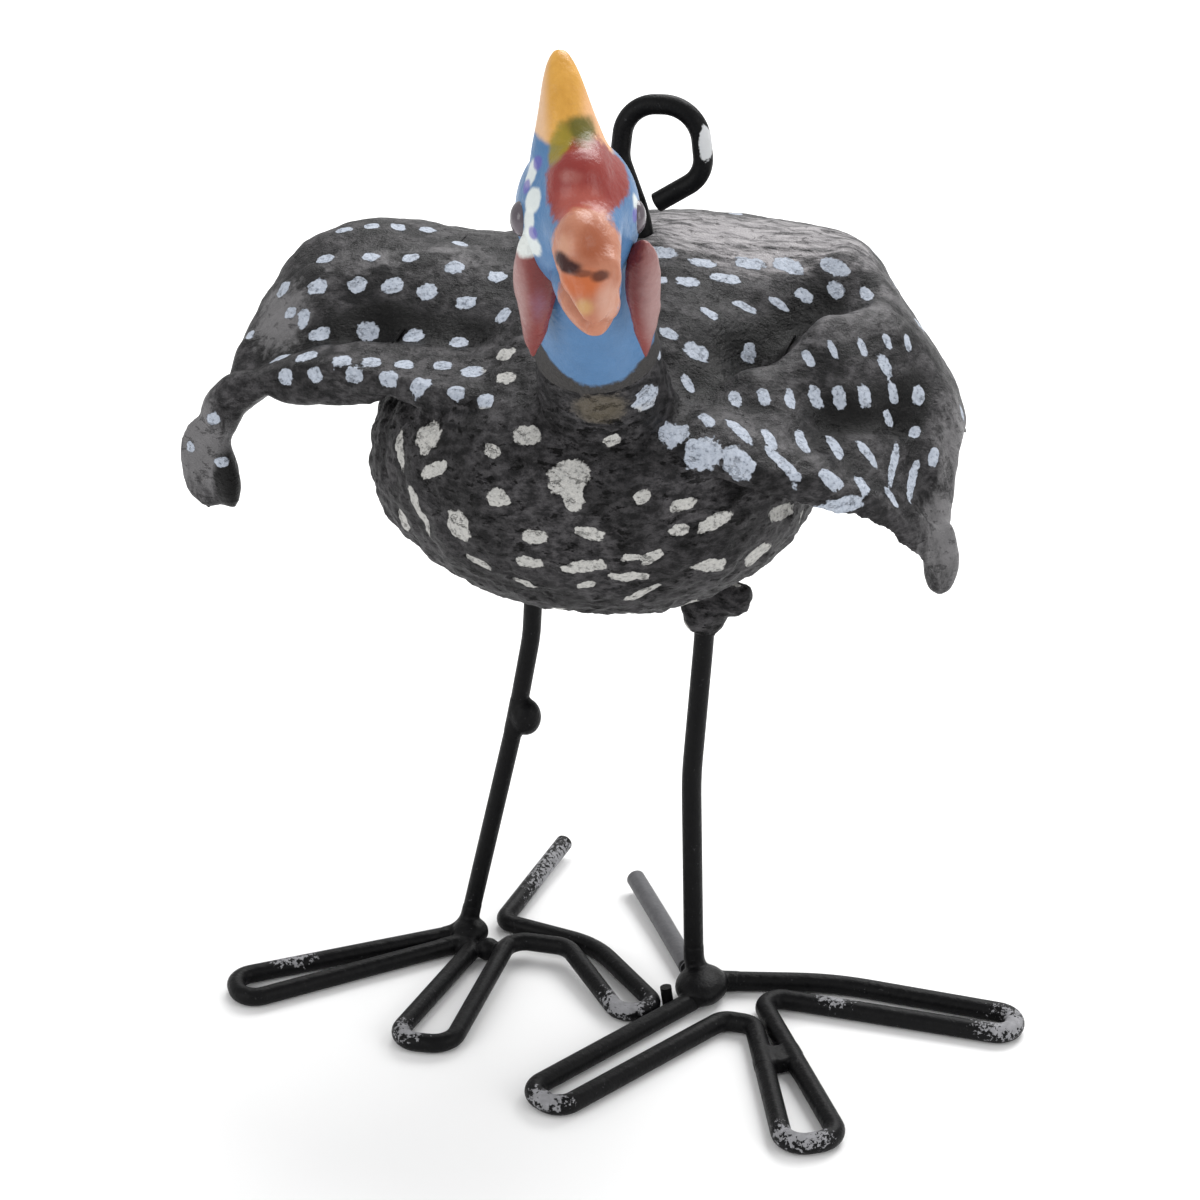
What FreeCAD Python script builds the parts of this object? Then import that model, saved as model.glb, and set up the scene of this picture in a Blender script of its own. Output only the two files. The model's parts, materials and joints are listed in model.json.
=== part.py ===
"""A helmeted guinea fowl ornament: painted pulp body on bent steel wire legs, with a wire hanging eye.

Millimetres, +Z up. The bird faces -Y and its own left side is +X. The origin is the centre of the whole
figure's box, at the floor that the wire feet stand on.
"""
import FreeCAD, Part
import math
import os
from FreeCAD import Placement, Rotation, Vector

doc = FreeCAD.newDocument("guinea_fowl")

# Driving dimensions, in millimetres and degrees.
SIZES = {
    "centre_x": 1.73,           # design centre line to the middle of the whole box, sideways
    "centre_y": 4.63,           # and lengthways
    "wire_left": 3.1,           # painted diameter of the left leg wire
    "wire_right": 2.9,          # painted diameter of the right leg wire
    "wire_eye": 3.0,            # painted diameter of the hanging eye
    "wire_neck": 2.5,           # armature wire inside the neck
    "wing_skin": 2.2,           # thickness of the draped wings
    "wing_bead": 3.6,           # rolled front edge of the wings
    "core_length": 52.0,        # paper core inside the torso
    "core_width": 40.0,
    "core_depth": 34.0,
    "skull_width": 16.0,
    "skull_length": 23.0,
    "skull_depth": 19.5,
    "eyeball": 5.0,
    "stub_width": 1.8,          # short wire end that stands beside the left ankle
    "stub_height": 3.4,
}

sheet = doc.addObject("Spreadsheet::Sheet", "dims")
for row, (alias, value) in enumerate(SIZES.items(), start=1):
    sheet.set("A%d" % row, alias)
    sheet.set("B%d" % row, str(value))
    sheet.setAlias("B%d" % row, alias)
doc.recompute()

nodes = []


def size(alias):
    """One driving dimension, read back from the sheet."""
    return float(sheet.get(alias))


def spot(x, y, z):
    """A point given from the design centre line, in the part's own frame."""
    return Vector(x - size("centre_x"), y - size("centre_y"), z)


def finish(thing, label):
    """Names a finished piece, which also names its file."""
    thing.Label = label
    nodes.append(thing)
    return thing


def bind(thing, **formulas):
    """Ties properties of one object to cells of the sheet."""
    for name, formula in formulas.items():
        thing.setExpression(name, formula)


def cut(label, blank, *tools):
    """A piece with its neighbours' space taken out, so that they meet face to face."""
    tool = tools[0]
    if len(tools) > 1:
        tool = doc.addObject("Part::MultiFuse", "tool_" + label)
        tool.Shapes = list(tools)
    piece = doc.addObject("Part::Cut", label)
    piece.Base = blank
    piece.Tool = tool
    return finish(piece, label)


def egg(name, centre, semi, turn=Rotation()):
    """An ellipsoid with its own three half-widths."""
    across, along, up = semi
    thing = doc.addObject("Part::Ellipsoid", name)
    thing.Radius1 = up
    thing.Radius2 = across
    thing.Radius3 = along
    thing.Angle1 = -90
    thing.Angle2 = 90
    thing.Angle3 = 360
    thing.Placement = Placement(spot(*centre), turn)
    return thing


def ring(name, centre, across, up, turn):
    """An elliptical section wire for a loft, its plane turned as asked."""
    thing = doc.addObject("Part::Ellipse", name)
    thing.MajorRadius = max(across, up)
    thing.MinorRadius = min(across, up)
    spin = Rotation() if across >= up else Rotation(Vector(0, 0, 1), 90)
    thing.Placement = Placement(spot(*centre), turn * spin)
    return thing


def loft(name, sections):
    """A closed solid through section wires."""
    thing = doc.addObject("Part::Loft", name)
    thing.Sections = sections
    thing.Solid = True
    thing.Ruled = False
    return thing


UPRIGHT = Rotation(Vector(1, 0, 0), 90)     # section planes that face along the bird


def body_loft(name, stations):
    """A loft of upright ellipses: y, middle x, middle z, half-width, half-height, tilt."""
    rings = []
    for index, (y, x, z, across, up, tilt) in enumerate(stations):
        turn = Rotation(Vector(1, 0, 0), tilt) * UPRIGHT
        rings.append(ring("%s_%d" % (name, index), (x, y, z), across, up, turn))
    return loft(name + "_blank", rings)


def bent_path(corners):
    """Straight runs joined by tangent arcs. A corner is (point, bend radius)."""
    edges = []
    start = corners[0][0]
    for index in range(1, len(corners) - 1):
        corner, radius = corners[index]
        back = (corners[index - 1][0] - corner).normalize()
        ahead = (corners[index + 1][0] - corner).normalize()
        half_turn = (math.pi - back.getAngle(ahead)) / 2
        reach = radius * math.tan(half_turn)
        enter = corner + back * reach
        leave = corner + ahead * reach
        inward = (back + ahead).normalize()
        middle = corner + inward * (radius / math.cos(half_turn) - radius)
        if (enter - start).dot(back) > -0.05:
            raise ValueError("bend %d of a wire does not fit its runs" % index)
        edges.append(Part.LineSegment(start, enter).toShape())
        edges.append(Part.Arc(enter, middle, leave).toShape())
        start = leave
    edges.append(Part.LineSegment(start, corners[-1][0]).toShape())
    return Part.Wire(edges)


def wire(label, corners, diameter_alias):
    """A length of round wire bent along its corners, and its volume checked."""
    path = doc.addObject("Part::Feature", label + "_path")
    path.Shape = bent_path(corners)
    section = doc.addObject("Part::Circle", label + "_section")
    bind(section, Radius="dims.%s / 2" % diameter_alias)
    heading = corners[1][0] - corners[0][0]
    section.Placement = Placement(corners[0][0], Rotation(Vector(0, 0, 1), heading))
    thing = doc.addObject("Part::Sweep", label)
    thing.Sections = [section]
    thing.Spine = (path, ["Edge%d" % (n + 1) for n in range(len(path.Shape.Edges))])
    thing.Solid = True
    thing.Frenet = False
    doc.recompute()
    expected = path.Shape.Length * math.pi * size(diameter_alias) ** 2 / 4
    if abs(thing.Shape.Volume / expected - 1) > 0.01:
        raise ValueError("%s has volume %.1f, expected %.1f" % (label, thing.Shape.Volume, expected))
    print("%-14s length %.1f mm" % (label, path.Shape.Length))
    return finish(thing, label)


# ---------------------------------------------------------------- wires

def floor_corners(points, diameter_alias):
    """Corners given as x, y, lift of the wire above lying on the floor, bend radius."""
    rest = size(diameter_alias) / 2
    return [(spot(x, y, rest + lift), bend) for x, y, lift, bend in points]


# The right leg, its three toes and its spur are one wire.
leg_right = wire("leg_right", floor_corners([
    (-12.8, 7.0, 84.0, 0),
    (-14.2, 6.1, 52.5, 30),
    (-16.6, 4.9, 38.0, 60),
    (-24.6, 1.7, 0.0, 4),
    (-56.4, -20.8, 0.0, 3.0),
    (-52.6, -27.2, 0.0, 3.0),
    (-21.4, 0.8, 0.0, 2.0),
    (-26.6, -31.8, 0.0, 3.2),
    (-17.4, -31.2, 0.0, 3.6),
    (-16.4, -0.9, 1.2, 3.4),
    (-6.8, -0.9, 1.2, 4),
    (5.9, -16.9, 0.0, 3.0),
    (10.8, -12.8, 0.0, 2.6),
    (-3.0, 2.4, 0.0, 14),
    (-19.8, 6.2, 0.0, 2.0),
    (-16.2, 32.6, 1.0, 0),
], "wire_right"), "wire_right")

# The left leg's wire ends at the ankle; its spur is a separate length.
leg_left = wire("leg_left", floor_corners([
    (14.8, 3.6, 84.0, 0),
    (13.9, 3.0, 56.0, 40),
    (12.9, 0.0, 34.0, 60),
    (14.7, -4.2, 0.0, 4.5),
    (36.0, 0.4, 0.0, 40),
    (65.6, -2.0, 0.0, 3.0),
    (65.0, -8.0, 0.0, 2.8),
    (25.2, -6.0, 0.0, 2.6),
    (44.3, -41.0, 0.0, 3.2),
    (36.9, -45.2, 0.0, 3.2),
    (26.4, -14.6, 0.0, 2.5),
    (21.4, -14.4, 0.0, 2.6),
    (3.0, -43.9, 0.0, 2.9),
    (-2.8, -40.2, 0.0, 2.9),
    (15.6, -10.2, 0.0, 0),
], "wire_left"), "wire_left")

spur_left = wire("spur_left", floor_corners([
    (13.2, -0.8, 0.0, 0),
    (6.0, 11.6, 0.3, 60),
    (-1.4, 23.8, 0.8, 0),
], "wire_left"), "wire_left")

# The hanging eye: stem from inside the core, round the eye, to a cut end beside the stem.
EYE_Y = 17.0
hanging_eye = wire("hanging_eye", [
    (spot(0.6, EYE_Y, 92.0), 0),
    (spot(0.9, EYE_Y, 118.0), 20),
    (spot(-2.9, EYE_Y, 128.0), 6),
    (spot(-2.0, EYE_Y, 136.2), 5.2),
    (spot(8.8, EYE_Y, 136.6), 5.6),
    (spot(10.0, EYE_Y, 126.2), 4.6),
    (spot(2.8, EYE_Y, 121.6), 0),
], "wire_eye")

neck_wire = wire("neck_wire", [
    (spot(3.0, -6.0, 92.0), 0),
    (spot(4.5, -22.0, 103.0), 12),
    (spot(6.2, -36.5, 131.0), 0),
], "wire_neck")

wires = (leg_right, leg_left, hanging_eye, neck_wire)

# ---------------------------------------------------------------- torso, core and tail

torso_blank = body_loft("torso", [
    (-34.0, 1.5, 90.0, 10.0, 6.5, 0),
    (-30.0, 0.5, 89.5, 19.0, 12.0, 0),
    (-20.0, -0.5, 88.5, 28.5, 17.8, 0),
    (-5.0, -2.0, 88.3, 33.5, 21.8, 0),
    (12.0, -2.0, 89.5, 33.0, 25.0, 0),
    (28.0, -1.5, 91.0, 28.0, 23.0, 0),
    (42.0, -1.0, 94.0, 18.0, 16.0, 0),
    (50.0, -0.5, 94.5, 10.0, 9.0, 0),
])

half_turn = Rotation(Vector(0, 0, 1), 180)  # keeps the core's seam clear of the wires
core_blank = egg("core_blank", (-1.0, 4.0, 90.0), (20.0, 26.0, 17.0), half_turn)
bind(core_blank, Radius1="dims.core_depth / 2", Radius2="dims.core_width / 2",
     Radius3="dims.core_length / 2")
cut("paper_core", core_blank, *wires)
torso = cut("torso", torso_blank, core_blank, *wires)

tail_blank = body_loft("tail", [
    (40.0, -1.0, 95.0, 15.0, 12.0, -10),
    (52.0, -0.5, 91.0, 13.0, 8.0, -25),
    (63.0, 0.0, 83.0, 11.5, 5.0, -45),
    (70.0, 0.5, 73.0, 10.0, 3.2, -60),
])

# ---------------------------------------------------------------- neck and head

TIPPED = Rotation(Vector(1, 0, 0), 28)      # the neck leans forward by this much


def neck_ring(index, centre, across, along):
    """One level section of the neck, tipped with its lean."""
    return ring("neck_%d" % index, centre, across, along, TIPPED)


neck_blank = loft("neck_blank", [
    neck_ring(0, (4.5, -19.0, 97.0), 11.5, 12.0),
    neck_ring(1, (4.8, -23.5, 106.0), 9.4, 9.4),
    neck_ring(2, (5.2, -29.5, 115.0), 8.4, 8.0),
    neck_ring(3, (5.8, -35.5, 124.0), 7.4, 7.2),
    neck_ring(4, (6.2, -39.0, 131.0), 6.6, 6.6),
])
neck = cut("neck", neck_blank, torso_blank, neck_wire)

head_turn = Rotation(Vector(0, 0, 1), 20)   # the head looks a little to the bird's left
beak_facing = head_turn * UPRIGHT
skull_blank = egg("skull_blank", (5.6, -41.0, 136.5), (8.5, 11.5, 9.8), head_turn)
bind(skull_blank, Radius1="dims.skull_depth / 2", Radius2="dims.skull_width / 2",
     Radius3="dims.skull_length / 2")
head = cut("head", skull_blank, neck_blank, neck_wire)

casque_blank = loft("casque_blank", [
    ring("casque_0", (5.4, -41.5, 141.0), 5.8, 6.6, Rotation(Vector(1, 0, 0), -8)),
    ring("casque_1", (4.6, -41.0, 146.0), 4.6, 5.2, Rotation(Vector(1, 0, 0), -10)),
    ring("casque_2", (3.6, -39.6, 151.0), 3.1, 3.6, Rotation(Vector(1, 0, 0), -12)),
    ring("casque_3", (2.8, -38.2, 155.0), 1.8, 2.0, Rotation(Vector(1, 0, 0), -14)),
    ring("casque_4", (2.5, -37.6, 156.6), 0.7, 0.8, Rotation(Vector(1, 0, 0), -14)),
])
casque = cut("casque", casque_blank, skull_blank)

forehead_blank = egg("forehead_blank", (7.6, -48.0, 142.2), (4.2, 4.2, 5.0), head_turn)
cut("forehead", forehead_blank, skull_blank, casque_blank)

upper_beak_blank = loft("upper_beak_blank", [
    ring("beak_0", (8.4, -48.0, 138.2), 5.2, 4.6, beak_facing),
    ring("beak_1", (10.2, -54.5, 136.6), 4.6, 3.6, beak_facing),
    ring("beak_2", (12.2, -60.0, 133.6), 3.3, 2.7, beak_facing),
    ring("beak_3", (13.4, -63.0, 130.4), 1.5, 1.4, beak_facing),
])
cut("upper_beak", upper_beak_blank, skull_blank, forehead_blank)

lower_beak_blank = loft("lower_beak_blank", [
    ring("jaw_0", (8.2, -47.0, 131.4), 4.6, 3.0, beak_facing),
    ring("jaw_1", (10.0, -53.0, 130.2), 4.2, 2.6, beak_facing),
    ring("jaw_2", (12.0, -58.5, 128.6), 2.6, 1.9, beak_facing),
    ring("jaw_3", (13.0, -61.0, 127.8), 1.2, 0.9, beak_facing),
])
cut("lower_beak", lower_beak_blank, skull_blank, neck_blank, upper_beak_blank)

for side, name in ((-1, "right"), (1, "left")):
    swing = head_turn * Rotation(Vector(0, 1, 0), -8 * side)
    middle = (7.2 + side * 6.4, -45.5 + side * 1.5, 125.6)
    wattle_blank = egg("wattle_blank_" + name, middle, (2.2, 4.2, 7.4), swing)
    cut("wattle_" + name, wattle_blank, skull_blank, neck_blank, lower_beak_blank, torso_blank)
    eye_blank = doc.addObject("Part::Sphere", "eye_blank_" + name)
    bind(eye_blank, Radius="dims.eyeball / 2")
    eye_blank.Placement = Placement(spot(5.8 + side * 7.0, -43.6 + side * 2.4, 136.6), half_turn)
    cut("eye_" + name, eye_blank, skull_blank)

# ---------------------------------------------------------------- wings and tail

def chord_wire(x, chord):
    """A thin closed section across the wing: top through the points, bottom one skin lower."""
    skin = size("wing_skin")
    bead = size("wing_bead")
    top = [spot(x, y, z) for y, z in chord]
    bottom = [Vector(p.x, p.y, p.z - (bead if n == 0 else skin)) for n, p in enumerate(top)]
    upper = Part.BSplineCurve()
    upper.interpolate(top)
    lower = Part.BSplineCurve()
    lower.interpolate(bottom)
    front = Part.LineSegment(bottom[0], top[0])
    back = Part.LineSegment(top[-1], bottom[-1])
    return Part.Wire([upper.toShape(), back.toShape(), lower.toShape(), front.toShape()])


def wing(label, stations, tip):
    """A draped sheet lofted from root to tip, with the tip's hanging flap."""
    sections = []
    for index, (x, chord) in enumerate(stations):
        section = doc.addObject("Part::Feature", "%s_section_%d" % (label, index))
        section.Shape = chord_wire(x, chord)
        sections.append(section)
    sheet_blank = loft(label + "_sheet", sections)
    flap = egg(label + "_flap", *tip)
    blank = doc.addObject("Part::Fuse", label + "_blank")
    blank.Base = sheet_blank
    blank.Tool = flap
    return blank


ROOT_CHORD = (0.5, [(-26.0, 102.0), (-14.0, 106.5), (-4.0, 110.5), (8.0, 114.5),
                    (22.0, 117.0), (31.0, 116.0), (44.0, 107.0)])

wing_right_blank = wing("wing_right", [
    ROOT_CHORD,
    (-12.0, [(-24.0, 103.8), (-14.0, 106.0), (-4.0, 109.6), (8.0, 113.4),
             (20.0, 115.0), (30.0, 113.0), (43.0, 105.0)]),
    (-24.0, [(-21.0, 104.2), (-12.0, 105.8), (-5.0, 108.5), (6.0, 112.0),
             (18.0, 113.8), (29.0, 111.0), (41.0, 103.5)]),
    (-36.0, [(-19.0, 105.0), (-11.0, 106.5), (-5.0, 108.8), (5.0, 112.6),
             (17.0, 115.4), (27.0, 112.6), (38.0, 105.0)]),
    (-45.0, [(-17.0, 103.0), (-10.0, 105.0), (-4.0, 107.4), (5.0, 111.9),
             (15.0, 115.6), (23.0, 112.5), (32.0, 105.0)]),
    (-52.0, [(-15.0, 98.5), (-9.0, 101.0), (-4.0, 104.4), (3.0, 108.6),
             (10.0, 111.4), (16.0, 109.0), (22.0, 104.0)]),
    (-57.0, [(-14.0, 93.5), (-11.0, 95.0), (-7.0, 97.5), (-3.0, 100.0),
             (0.0, 101.2), (4.0, 101.0), (8.0, 100.0)]),
], ((-58.6, -13.4, 86.2), (4.8, 2.0, 7.8)))

wing_left_blank = wing("wing_left", [
    ROOT_CHORD,
    (14.0, [(-27.5, 101.0), (-16.0, 105.0), (-6.0, 109.0), (8.0, 112.6),
            (22.0, 117.0), (31.0, 116.3), (44.0, 107.0)]),
    (24.0, [(-28.0, 99.5), (-16.0, 103.5), (-6.0, 106.5), (6.0, 109.8),
            (20.0, 115.8), (30.0, 116.0), (41.0, 107.0)]),
    (33.0, [(-25.5, 96.6), (-15.0, 100.0), (-6.0, 106.0), (5.0, 109.6),
            (16.0, 114.0), (25.0, 114.4), (34.0, 108.0)]),
    (41.0, [(-20.5, 93.2), (-13.0, 96.5), (-6.0, 102.5), (3.0, 107.2),
            (11.0, 108.8), (18.0, 107.4), (25.0, 104.0)]),
    (47.0, [(-16.5, 87.5), (-11.0, 90.5), (-6.0, 95.8), (0.0, 100.8),
            (5.0, 103.2), (11.0, 102.4), (17.0, 99.5)]),
    (51.5, [(-12.5, 81.5), (-9.0, 84.0), (-6.0, 87.6), (-3.0, 91.4),
            (0.0, 94.0), (4.0, 95.0), (8.0, 94.0)]),
], ((51.0, -11.0, 80.4), (2.3, 2.2, 5.0)))

cut("wing_right", wing_right_blank, torso_blank, neck_blank, hanging_eye)
cut("wing_left", wing_left_blank, torso_blank, neck_blank, hanging_eye)
cut("tail", tail_blank, torso_blank, wing_right_blank, wing_left_blank)

# ---------------------------------------------------------------- putty, welds and pulp on the wires

def blob(label, centre, semi, *neighbours):
    """A lump laid on a wire or in a corner."""
    return cut(label, egg(label + "_blank", centre, semi), *neighbours)


blob("collar_right", (-13.9, 6.4, 64.0), (3.2, 3.2, 3.2), torso_blank, leg_right)
collar_left_blank = egg("collar_left_blank", (13.9, 3.2, 63.4), (3.4, 3.4, 5.6))
cut("collar_left", collar_left_blank, torso_blank, leg_left)
blob("knee_blob", (-15.0, 4.9, 40.2), (2.4, 2.2, 3.0), leg_right)
blob("ankle_weld_right", (-23.6, 0.6, 2.2), (2.9, 2.9, 2.2), leg_right)
blob("ankle_weld_left", (16.4, -6.6, 2.4), (4.0, 5.0, 2.4), leg_left, spur_left)
blob("toe_weld_right", (-19.4, -3.4, 1.85), (1.8, 1.8, 1.8), leg_right)

toe_weld_blank = doc.addObject("Part::Cylinder", "toe_weld_blank")
toe_weld_blank.Radius = 2.2
toe_weld_blank.Height = 2.4
toe_weld_blank.Placement = Placement(spot(31.5, -23.0, 0.3), Rotation())
cut("toe_weld_left", toe_weld_blank, leg_left)

blob("pulp_lump", (18.4, 2.6, 65.4), (3.6, 3.0, 3.2), torso_blank, leg_left, collar_left_blank)

stub_blank = doc.addObject("Part::Cylinder", "stub_blank")
bind(stub_blank, Radius="dims.stub_width / 2", Height="dims.stub_height")
stub_blank.Placement = Placement(spot(12.0, -10.6, 0.4), Rotation(Vector(0, 1, 0), -8))
cut("wire_stub", stub_blank, leg_left)

doc.recompute()

# ---------------------------------------------------------------- checks and files

for thing in doc.Objects:
    if "Invalid" in thing.State or "Error" in thing.State:
        raise RuntimeError("%s failed: %s" % (thing.Label, thing.State))

whole = FreeCAD.BoundBox()
for piece in nodes:
    shape = piece.Shape
    if shape.isNull() or not shape.isValid() or not shape.Solids:
        raise RuntimeError("%s has no valid solid" % piece.Label)
    whole.add(shape.BoundBox)
    print("%-18s %d solid(s) %9.1f mm3" % (piece.Label, len(shape.Solids), shape.Volume))
print("box %s" % whole)

os.makedirs("parts", exist_ok=True)
for piece in nodes:
    piece.Shape.exportStep("parts/%s.step" % piece.Label)
print("%d pieces written" % len(nodes))
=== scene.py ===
# %% [markdown]
# A guinea fowl made by hand: a papier-mache body and two draped paper wings, a smooth painted
# head, and legs, feet and a hanging eye bent from black painted wire.
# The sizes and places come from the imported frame, so the first cell loads it and nothing here
# has to be fitted by eye. The box of the frame is kept, to compare with the finished model.

# %% Load the frame
import json
import math
import random

import bpy
import numpy as np
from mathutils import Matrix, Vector
from mathutils.bvhtree import BVHTree
from mathutils.kdtree import KDTree

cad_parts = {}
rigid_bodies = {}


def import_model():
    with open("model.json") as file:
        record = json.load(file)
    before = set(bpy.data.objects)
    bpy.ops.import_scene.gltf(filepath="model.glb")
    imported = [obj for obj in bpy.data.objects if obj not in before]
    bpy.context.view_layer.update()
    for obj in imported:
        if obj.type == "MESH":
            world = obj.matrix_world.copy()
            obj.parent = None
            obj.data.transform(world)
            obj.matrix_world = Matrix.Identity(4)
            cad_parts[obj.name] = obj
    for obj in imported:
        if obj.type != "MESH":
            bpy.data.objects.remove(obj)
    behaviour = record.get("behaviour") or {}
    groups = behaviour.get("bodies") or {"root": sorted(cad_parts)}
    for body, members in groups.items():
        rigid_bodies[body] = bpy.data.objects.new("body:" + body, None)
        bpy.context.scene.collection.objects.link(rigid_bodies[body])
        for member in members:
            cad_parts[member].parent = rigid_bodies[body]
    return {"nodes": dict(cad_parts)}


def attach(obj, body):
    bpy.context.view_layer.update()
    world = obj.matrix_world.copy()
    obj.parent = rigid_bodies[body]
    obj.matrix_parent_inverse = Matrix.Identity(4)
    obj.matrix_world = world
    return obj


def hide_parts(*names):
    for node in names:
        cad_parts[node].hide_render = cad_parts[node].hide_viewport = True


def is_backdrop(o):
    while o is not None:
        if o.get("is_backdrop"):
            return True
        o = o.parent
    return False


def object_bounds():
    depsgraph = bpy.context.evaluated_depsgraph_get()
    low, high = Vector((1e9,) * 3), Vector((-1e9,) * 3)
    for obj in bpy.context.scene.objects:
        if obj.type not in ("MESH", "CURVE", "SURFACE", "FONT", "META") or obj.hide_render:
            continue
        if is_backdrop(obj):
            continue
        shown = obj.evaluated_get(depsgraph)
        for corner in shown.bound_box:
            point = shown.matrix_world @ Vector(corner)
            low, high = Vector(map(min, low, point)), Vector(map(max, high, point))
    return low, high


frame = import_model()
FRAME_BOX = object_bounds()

NODES = frame["nodes"]
MM = 0.001
print(f"{len(NODES)} nodes, box {[round(1000 * s, 1) for s in FRAME_BOX[1] - FRAME_BOX[0]]} mm")

# %% [markdown]
# The camera and the light come first, so that every later step can be looked at.
# A long lens from a little above keeps the feet and the body in proportion. The light is a
# white room: a pale floor, one wide softbox above and behind that puts a grey sheen on the
# wings, and a softer one in front.

# %% Camera
EYE = Vector((0.090526, -0.381365, 0.236732))
bpy.ops.object.camera_add(location=EYE, rotation=(math.radians(66), 0, math.radians(14)))
camera = bpy.context.object
camera.data.lens = 84
camera.data.sensor_width = 36
camera.data.clip_start = 0.01
camera.data.clip_end = 20
bpy.context.scene.camera = camera
print("camera", [round(c, 3) for c in EYE])


# %% Lights
def softbox(name, place, aim, width, power):
    """A square light at place that faces aim."""
    turn = (Vector(aim) - Vector(place)).to_track_quat("-Z", "Y").to_euler()
    bpy.ops.object.light_add(type="AREA", location=place, rotation=turn)
    lamp = bpy.context.object
    lamp.name = name
    lamp.data.size = width
    lamp.data.energy = power
    return lamp


softbox("light_above", (0.10, 0.55, 0.75), (0, 0, 0.08), 0.7, 9)
softbox("light_front", (-0.55, -0.75, 0.45), (0, 0, 0.08), 0.6, 3)
softbox("light_side", (0.75, -0.25, 0.35), (0, 0, 0.08), 0.5, 2)

bpy.context.scene.view_settings.view_transform = "Standard"
world = bpy.data.worlds.new("white_room")
world.use_nodes = True
world.node_tree.nodes["Background"].inputs["Color"].default_value = (1, 1, 1, 1)
world.node_tree.nodes["Background"].inputs["Strength"].default_value = 0.72
bpy.context.scene.world = world
print("three softboxes and a white room")

# %% Floor
bpy.ops.mesh.primitive_plane_add(size=8, location=(0, 0, -0.0001))
floor = bpy.context.object
floor.name = "floor"
paper = bpy.data.materials.new("floor_paper")
paper.use_nodes = True
paper.node_tree.nodes["Principled BSDF"].inputs["Base Color"].default_value = (0.93, 0.93, 0.93, 1)
paper.node_tree.nodes["Principled BSDF"].inputs["Roughness"].default_value = 0.9
floor.data.materials.append(paper)
floor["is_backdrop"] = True
print("floor", [round(s, 2) for s in floor.dimensions])

# %% [markdown]
# Shader maths reads best as plain arithmetic. The first class wraps a number that changes over
# the surface, so that 1 - mask adds a Math node. The second holds one finish and adds any other
# node from its type, its settings and its inputs.
# Lengths inside a finish are in millimetres, because the brush marks are a few of them wide.


# %% Arithmetic on sockets
class Value:
    """A number that varies over a surface."""

    def __init__(self, finish, socket):
        self.finish, self.socket = finish, socket

    def _math(self, operation, first, second):
        return self.finish.node("ShaderNodeMath", {"operation": operation}, {0: first, 1: second})

    def __add__(self, other):
        return self._math("ADD", self, other)

    def __sub__(self, other):
        return self._math("SUBTRACT", self, other)

    def __rsub__(self, other):
        return self._math("SUBTRACT", other, self)

    def __mul__(self, other):
        return self._math("MULTIPLY", self, other)

    __radd__ = __add__
    __rmul__ = __mul__

    def squared(self):
        return self._math("MULTIPLY", self, self)

    def at_most(self, other):
        return self._math("MINIMUM", self, other)

    def at_least(self, other):
        return self._math("MAXIMUM", self, other)


# %% One finish
class Finish:
    """One material, with the nodes that its colour and relief need."""

    def __init__(self, name):
        self.material = bpy.data.materials.new(name)
        self.material.use_nodes = True
        self.tree = self.material.node_tree
        self.shader = self.tree.nodes["Principled BSDF"]
        place = self.node("ShaderNodeTexCoord", out="Object")
        self.place = self.node("ShaderNodeVectorMath", {"operation": "SCALE"},
                               {0: place, "Scale": 1 / MM})

    def node(self, kind, settings=None, inputs=None, out=0):
        made = self.tree.nodes.new(kind)
        for name, setting in (settings or {}).items():
            setattr(made, name, setting)
        for name, value in (inputs or {}).items():
            if isinstance(value, Value):
                self.tree.links.new(value.socket, made.inputs[name])
            else:
                made.inputs[name].default_value = value
        return Value(self, made.outputs[out])

    def noise(self, size, detail=3, rough=0.55, stretch=(1, 1, 1), shift=0):
        """Cloudy noise, 0 to 1, with lumps about size millimetres across."""
        grid = self.node("ShaderNodeVectorMath", {"operation": "MULTIPLY_ADD"},
                         {0: self.place, 1: [s / size for s in stretch], 2: (shift, shift, shift)})
        return self.node("ShaderNodeTexNoise", None,
                         {"Vector": grid, "Scale": 1, "Detail": detail, "Roughness": rough})

    def ramp(self, value, low, high):
        """0 below low, 1 above high, and smooth between them."""
        return self.node("ShaderNodeMapRange", {"interpolation_type": "SMOOTHSTEP"},
                         {"Value": value, "From Min": low, "From Max": high})

    def attribute(self, name):
        return self.node("ShaderNodeAttribute", {"attribute_name": name}, out="Fac")

    def mix(self, factor, first, second):
        """Colour first, with colour second laid over it where factor is 1."""
        return self.node("ShaderNodeMix", {"data_type": "RGBA"},
                         {0: factor, 6: self.rgba(first), 7: self.rgba(second)}, out=2)

    def rgba(self, colour):
        return colour if isinstance(colour, Value) else (*colour, 1)

    def spot(self, centre, reach):
        """1 at a point, falling to 0 on an ellipsoid of half sizes reach round it, in mm."""
        apart = self.node("ShaderNodeVectorMath", {"operation": "SUBTRACT"},
                          {0: self.place, 1: centre})
        share = self.node("ShaderNodeVectorMath", {"operation": "DIVIDE"}, {0: apart, 1: reach})
        return 1 - self.node("ShaderNodeVectorMath", {"operation": "LENGTH"}, {0: share},
                             out="Value")

    def surface(self, colour, roughness, height=None, depth=0.3, **fixed):
        """Joins it all to the shader. depth is the relief's height in millimetres."""
        self.put("Base Color", self.rgba(colour))
        self.put("Roughness", roughness)
        for name, value in fixed.items():
            self.put(name.replace("_", " "), value)
        if height is not None:
            bump = self.node("ShaderNodeBump", None,
                             {"Height": height, "Distance": depth * MM, "Strength": 1.0},
                             out="Normal")
            self.put("Normal", bump)
        return self.material

    def put(self, name, value):
        if isinstance(value, Value):
            self.tree.links.new(value.socket, self.shader.inputs[name])
        else:
            self.shader.inputs[name].default_value = value


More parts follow.
